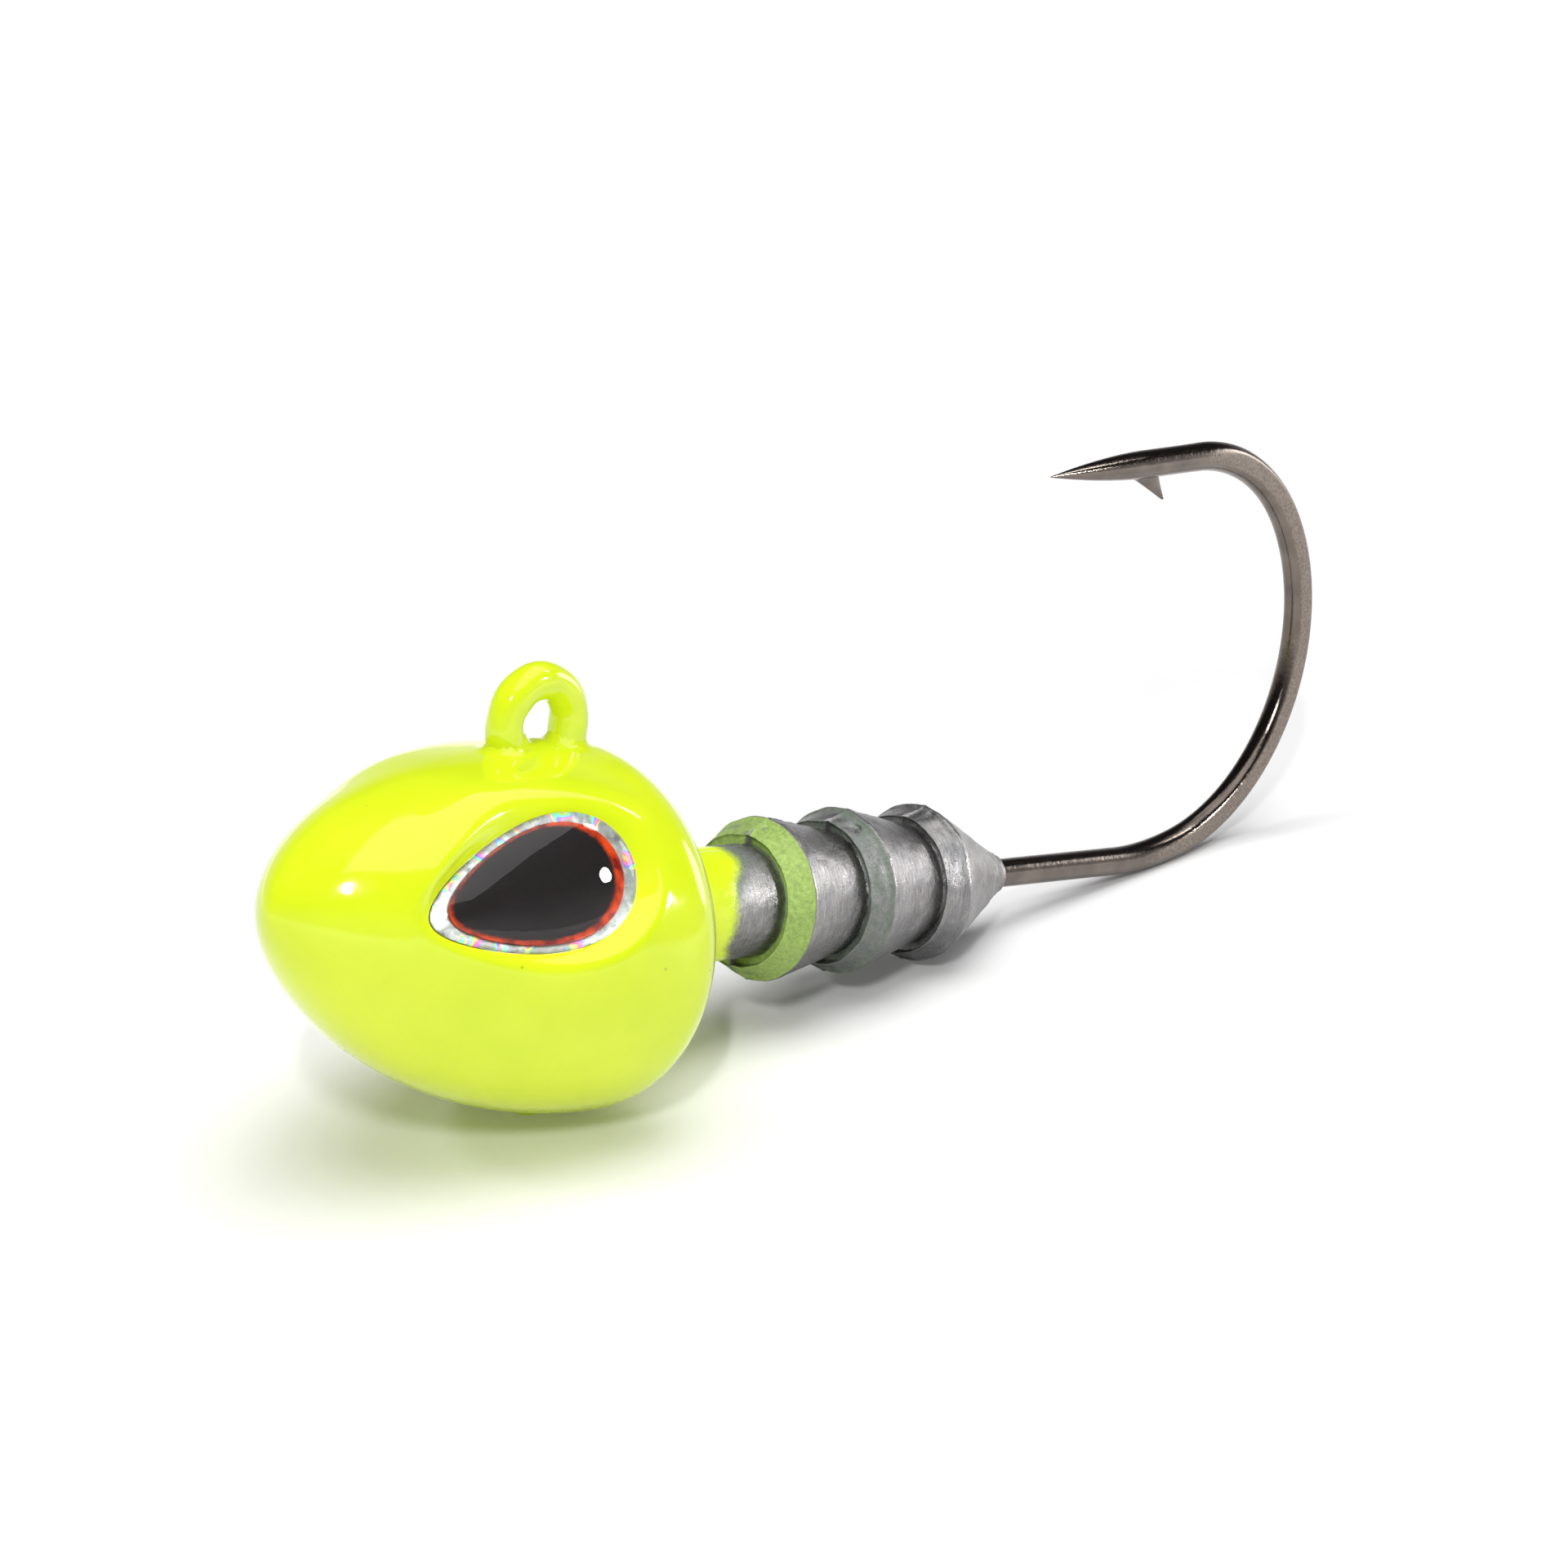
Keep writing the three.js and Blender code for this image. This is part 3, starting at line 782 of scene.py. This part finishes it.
def make_lead():
    material, tree, shader = new_material("cast_lead")
    brushed = coordinates(tree, (14, 1.1, 1.1), in_shank_frame=True)
    plain = coordinates(tree)
    streaks = noise_value(tree, brushed, 1.0, 4, 0.65)
    grain = noise_value(tree, plain, 9.0, 3, 0.7)
    blotches = noise_value(tree, plain, 0.8, 3)
    lead = mix(tree, ramp(tree, streaks, 0.3, 0.7), (0.2, 0.19, 0.19), (0.55, 0.53, 0.52))
    lead = mix(tree, ramp(tree, blotches, 0.35, 0.75, 0, 0.6), lead, (0.22, 0.22, 0.24))
    # Painted shade: the lead is darkened where it faces down.
    painted_shade_share = maths(tree, "MULTIPLY", attribute_value(tree, "downward_shade_mask"), 0.75)
    lead = mix(tree, painted_shade_share, lead, (0.1, 0.098, 0.1))
    spray = attribute_value(tree, "overspray")
    solid = attribute_value(tree, "solid_paint")
    tints = add(tree, "ShaderNodeValToRGB", {"Fac": spray})
    stops = tints.color_ramp.elements
    stops[0].color = (0.19, 0.205, 0.225, 1)
    stops[1].color = (0.34, 0.48, 0.13, 1)
    middle = stops.new(0.5)
    middle.color = (0.17, 0.2, 0.165, 1)
    fine = noise_value(tree, plain, 11.0, 2, 0.7)
    speckled = maths(tree, "MULTIPLY_ADD", fine, 1.0)
    speckled.node.inputs[2].default_value = -0.5
    cover = maths(tree, "ADD", spray, speckled, clamp=True)
    cover = ramp(tree, cover, 0.12, 0.5)
    grainy = ramp(tree, noise_value(tree, plain, 4.0, 5, 0.75), 0.3, 0.7, 0.65, 1.3)
    tint = add(tree, "ShaderNodeVectorMath", {
        0: tints.outputs["Color"], "Scale": grainy,
    }, operation="SCALE")
    colour = mix(tree, cover, lead, tint.outputs[0])
    edge = maths(tree, "ADD", solid, speckled)
    painted = ramp(tree, edge, 0.2, 0.8)
    yellow = paint_colour(tree, plain)
    # More painted shade: all colours are dimmed a little where the keeper faces down.
    painted_shade_dim = ramp(tree, attribute_value(tree, "downward_shade_mask"), 0, 1, 1, 0.85)
    shaded = add(tree, "ShaderNodeVectorMath", {0: colour, "Scale": painted_shade_dim}, operation="SCALE")
    tree.links.new(mix(tree, painted, shaded.outputs[0], yellow), shader.inputs["Base Color"])
    dull = maths(tree, "MAXIMUM", maths(tree, "MULTIPLY", cover, 0.75), painted)
    tree.links.new(ramp(tree, dull, 0, 1, 0.95, 0), shader.inputs["Metallic"])
    rough = ramp(tree, grain, 0.3, 0.7, 0.2, 0.42)
    rough = maths(tree, "ADD", rough, maths(tree, "MULTIPLY", cover, 0.25))
    rough = maths(tree, "MULTIPLY", rough, ramp(tree, painted, 0, 1, 1, 0.3))
    tree.links.new(rough, shader.inputs["Roughness"])
    # The paint on the neck glows faintly too, a painted glow like the head's.
    tree.links.new(yellow, shader.inputs["Emission Color"])
    tree.links.new(maths(tree, "MULTIPLY", painted, 0.1), shader.inputs["Emission Strength"])
    streak_height = maths(tree, "MULTIPLY", streaks, 0.6)
    height = maths(tree, "ADD", streak_height, maths(tree, "MULTIPLY", grain, 1.1))
    height = maths(tree, "MULTIPLY", height, ramp(tree, painted, 0, 1, 1, 0.08))
    bump(tree, shader, height, 0.025, 0.9)
    return material


def make_steel():
    material, tree, shader = new_material("black_nickel")
    place = coordinates(tree)
    flat = attribute_value(tree, "forged_face")
    speckle = noise_value(tree, place, 7.0, 3, 0.7)
    tone = noise_value(tree, place, 0.6, 3)
    glossy = mix(tree, ramp(tree, tone, 0.3, 0.7), (0.13, 0.108, 0.095), (0.2, 0.168, 0.146))
    satin = mix(tree, ramp(tree, speckle, 0.35, 0.65), (0.15, 0.126, 0.108), (0.28, 0.236, 0.2))
    tree.links.new(mix(tree, flat, glossy, satin), shader.inputs["Base Color"])
    shader.inputs["Metallic"].default_value = 1.0
    smooth = ramp(tree, speckle, 0.3, 0.75, 0.07, 0.2)
    rough = maths(tree, "ADD", smooth, maths(tree, "MULTIPLY", flat, 0.25))
    tree.links.new(rough, shader.inputs["Roughness"])
    pits = noise_value(tree, place, 4.0, 4, 0.65)
    bump(tree, shader, pits, 0.03, 0.5)
    return material


def make_resin():
    material, tree, shader = new_material("eye_resin_clear")
    place = coordinates(tree)
    shader.inputs["Transmission Weight"].default_value = 1.0
    shader.inputs["IOR"].default_value = 1.42
    tint = mix(tree, noise_value(tree, place, 0.5), (0.97, 0.985, 0.98), (1.0, 1.0, 1.0))
    tree.links.new(tint, shader.inputs["Base Color"])
    smear = noise_value(tree, place, 1.4, 3)
    tree.links.new(ramp(tree, smear, 0.4, 0.8, 0.0, 0.02), shader.inputs["Roughness"])
    bump(tree, shader, noise_value(tree, place, 0.8, 1), 0.03, 0.2)
    return material


def make_foil():
    """Holographic foil: silver, with small patches that run through the rainbow."""
    material, tree, shader = new_material("holographic_foil")
    place = coordinates(tree)
    bands = noise_value(tree, place, 0.6, 1)
    hue = maths(tree, "FRACT", maths(tree, "MULTIPLY", bands, 9.0), 0)
    rainbow = add(tree, "ShaderNodeCombineColor", {0: hue, 1: 0.85, 2: 1.0}, mode="HSV")
    patches = noise_value(tree, place, 1.0, 2)
    share = ramp(tree, patches, 0.53, 0.6, 0, 0.8)
    grey = mix(tree, noise_value(tree, place, 2.5, 2), (0.16, 0.18, 0.17), (0.72, 0.76, 0.72))
    colour = mix(tree, share, grey, rainbow.outputs[0])
    tree.links.new(colour, shader.inputs["Base Color"])
    tree.links.new(colour, shader.inputs["Emission Color"])
    # The rainbow patches glow a little: a painted glow, since the foil is no lamp.
    tree.links.new(maths(tree, "MULTIPLY", share, 0.12), shader.inputs["Emission Strength"])
    shader.inputs["Metallic"].default_value = 0.85
    tree.links.new(ramp(tree, patches, 0.3, 0.7, 0.22, 0.4), shader.inputs["Roughness"])
    facets = add(tree, "ShaderNodeTexVoronoi", {"Vector": place, "Scale": 2.2})
    bump(tree, shader, facets.outputs["Distance"], 0.05, 0.5)
    return material


def make_ink():
    material, tree, shader = new_material("pupil_ink")
    place = coordinates(tree)
    reach = attribute_value(tree, "reach")
    ragged = noise_value(tree, place, 7.0, 3)
    at = maths(tree, "ADD", reach, maths(tree, "MULTIPLY", ragged, 0.05))
    ring = ramp(tree, at, 0.94, 0.995)
    uneven = ramp(tree, noise_value(tree, place, 1.6, 3), 0.35, 0.65)
    red = mix(tree, uneven, (0.09, 0.003, 0.002), (0.45, 0.042, 0.005))
    black = mix(tree, ragged, (0.004, 0.003, 0.003), (0.012, 0.01, 0.01))
    tree.links.new(mix(tree, ring, black, red), shader.inputs["Base Color"])
    tree.links.new(ramp(tree, ragged, 0.3, 0.7, 0.4, 0.55), shader.inputs["Roughness"])
    shader.inputs["Specular IOR Level"].default_value = 0.02
    return material


def make_glue():
    material, tree, shader = new_material("cured_glue")
    place = coordinates(tree)
    cloud = noise_value(tree, place, 1.5, 3)
    tree.links.new(mix(tree, cloud, (0.55, 0.55, 0.48), (0.8, 0.8, 0.74)), shader.inputs["Base Color"])
    tree.links.new(ramp(tree, cloud, 0.3, 0.7, 0.45, 0.65), shader.inputs["Roughness"])
    bump(tree, shader, cloud, 0.03, 0.4)
    return material


def make_floor():
    material, tree, shader = new_material("studio_floor")
    place = coordinates(tree)
    cloud = noise_value(tree, place, 0.02, 2)
    tree.links.new(mix(tree, cloud, (0.8, 0.8, 0.8), (0.82, 0.82, 0.82)), shader.inputs["Base Color"])
    shader.inputs["Roughness"].default_value = 0.6
    shader.inputs["Specular IOR Level"].default_value = 0.2
    shader.inputs["Emission Color"].default_value = (1, 1, 1, 1)
    distance = add(tree, "ShaderNodeVectorMath", {0: place}, operation="LENGTH").outputs["Value"]
    tree.links.new(ramp(tree, distance, 60, 220, 0.06, 0.5), shader.inputs["Emission Strength"])
    return material


# ---- Build the pieces ----
paint = make_paint()
hook = build_hook()
hook_points = shank_points(hook)
hook_normals = np.empty(len(hook.data.vertices) * 3)
hook.data.vertices.foreach_get("normal", hook_normals)
sideways_facing = np.abs(hook_normals.reshape(-1, 3)[:, 1])
in_bend = smoothstep(hook_points[:, 0], BEND_START_X, BEND_START_X + 5)
set_attribute(hook, "forged_face", smoothstep(sideways_facing, 0.86, 0.97) * in_bend)
finish_piece(hook, "hook", make_steel())
finish_piece(build_head(), "head_casting", paint)
finish_piece(build_line_tie(), "line_tie_coat", paint)
finish_piece(build_keeper(), "bait_keeper", make_lead())

eye_layers = (
    ("glue", slab_profile(1, -1.57, -1.45), "eye_glue", make_glue()),
    ("foil", slab_profile(1.008, -1.42, -1.30), "eye_foil", make_foil()),
    ("print", slab_profile(PUPIL_SCALE, -1.27, -1.21), "eye_ink", make_ink()),
    ("dome", dome_profile(1.008, -1.18, 0.26, 1.3), "eye_resin", make_resin()),
)
for side, side_name in ((-1, "left"), (1, "right")):
    for layer, profile, slot, material in eye_layers:
        piece = skin(f"eye_{layer}_fine_{side_name}", teardrop_rows(profile, side))
        local = to_eye(shank_points(piece), side)
        if layer == "print":
            off_middle = local[:, :2] / PUPIL_SCALE - PUPIL_OFFSET
            set_attribute(piece, "reach", eye_reach(off_middle[:, 0], off_middle[:, 1])[0])
        sharpen(piece, 50)
        finish_piece(piece, f"eye_{layer}_{side_name}", material)
        if layer == "dome":
            piece.visible_shadow = False

# ---- Camera ----
CAMERA_AZIMUTH = -44.79
CAMERA_ELEVATION = 19.465
CAMERA_ROLL = -0.414
CAMERA_DISTANCE = 0.212598
CAMERA_AIM = Vector((-0.0049155, 0, 0.012614))
azimuth = math.radians(CAMERA_AZIMUTH)
elevation = math.radians(CAMERA_ELEVATION)
back = Vector((
    math.sin(azimuth) * math.cos(elevation),
    -math.cos(azimuth) * math.cos(elevation),
    math.sin(elevation),
))
camera = bpy.data.objects.new("camera", bpy.data.cameras.new("camera"))
camera.data.lens = 93.75
camera.data.sensor_width = 36
camera.data.clip_start = 0.01
camera.location = CAMERA_AIM + back * CAMERA_DISTANCE
turn = (-back).to_track_quat("-Z", "Y").to_matrix()
camera.rotation_mode = "QUATERNION"
camera.rotation_quaternion = (turn @ Matrix.Rotation(math.radians(CAMERA_ROLL), 3, "Z")).to_quaternion()
scene = bpy.context.scene
scene.collection.objects.link(camera)
scene.camera = camera
scene.view_settings.view_transform = "Standard"

# ---- Studio ----
FLOOR_REACH = 3.0
corners = [(x * FLOOR_REACH, y * FLOOR_REACH, 0) for x, y in ((-1, -1), (1, -1), (1, 1), (-1, 1))]
floor_mesh = bpy.data.meshes.new("floor")
floor_mesh.from_pydata(corners, [], [(0, 1, 2, 3)])
floor = bpy.data.objects.new("floor", floor_mesh)
floor.data.materials.append(make_floor())
scene.collection.objects.link(floor)


def area_light(name, centre, aim, size, power, glossy=True, round_shape=False):
    light = bpy.data.lights.new(name, "AREA")
    light.shape = "ELLIPSE" if round_shape else "RECTANGLE"
    light.size, light.size_y = size
    light.energy = power
    lamp = bpy.data.objects.new(name, light)
    lamp.location = centre
    lamp.rotation_mode = "QUATERNION"
    lamp.rotation_quaternion = (Vector(aim) - Vector(centre)).to_track_quat("-Z", "Y")
    lamp.visible_glossy = glossy
    scene.collection.objects.link(lamp)
    return lamp


head_middle = Vector((-0.022, 0, 0.009))
SOFTBOX_PLACE = (0.056, -0.092)
SOFTBOX_HEIGHT = 0.309
SOFTBOX_TURN = math.radians(37.69)
softbox = area_light(
    "softbox_overhead", (*SOFTBOX_PLACE, SOFTBOX_HEIGHT), (*SOFTBOX_PLACE, 0), (0.42, 0.25), 0.52,
)
softbox.rotation_mode = "XYZ"
softbox.rotation_euler = (0, 0, SOFTBOX_TURN)
near_camera = head_middle + Vector((-0.55, -0.54, 0.64)) * 0.4
area_light("lamp_by_camera", near_camera, head_middle, (0.012, 0.07), 0.6, round_shape=True)
glint_lamps = (  # name, direction, size and power of lamps that are only seen as reflections
    ("glint_on_brow", (0.66, -0.31, 0.65), 0.07, 0.15),
    ("glint_on_eye", (0.57, -0.77, 0.37), 0.05, 0.9),
    ("glint_on_keeper", (0.95, -0.25, 0.17), 0.16, 0.34),
)
for name, towards, size, power in glint_lamps:
    place = head_middle + Vector(towards) * 0.45
    glint = area_light(name, place, head_middle, (size, size), power, round_shape=True)
    glint.visible_diffuse = False
side_fill = Vector((-0.61, 0.385, 0.70)) * 0.6
area_light("side_fill", side_fill, (0, 0, 0), (0.08, 0.08), 0.45, glossy=False)
sun = bpy.data.lights.new("top_fill", "SUN")
sun.angle = math.radians(50)
sun.energy = 1.9
sun_lamp = bpy.data.objects.new("top_fill", sun)
sun_lamp.visible_glossy = False
scene.collection.objects.link(sun_lamp)

world = bpy.data.worlds.new("studio")
scene.world = world
world.use_nodes = True
sky = world.node_tree
direction = add(sky, "ShaderNodeTexCoord").outputs["Generated"]
rise = add(sky, "ShaderNodeSeparateXYZ", {0: direction}).outputs["Z"]
shade = mix(sky, ramp(sky, rise, 0.08, 0.4), (1.0, 1.0, 1.0), (0.06, 0.06, 0.065))
sky.links.new(shade, sky.nodes["Background"].inputs["Color"])
sky.nodes["Background"].inputs["Strength"].default_value = 0.62
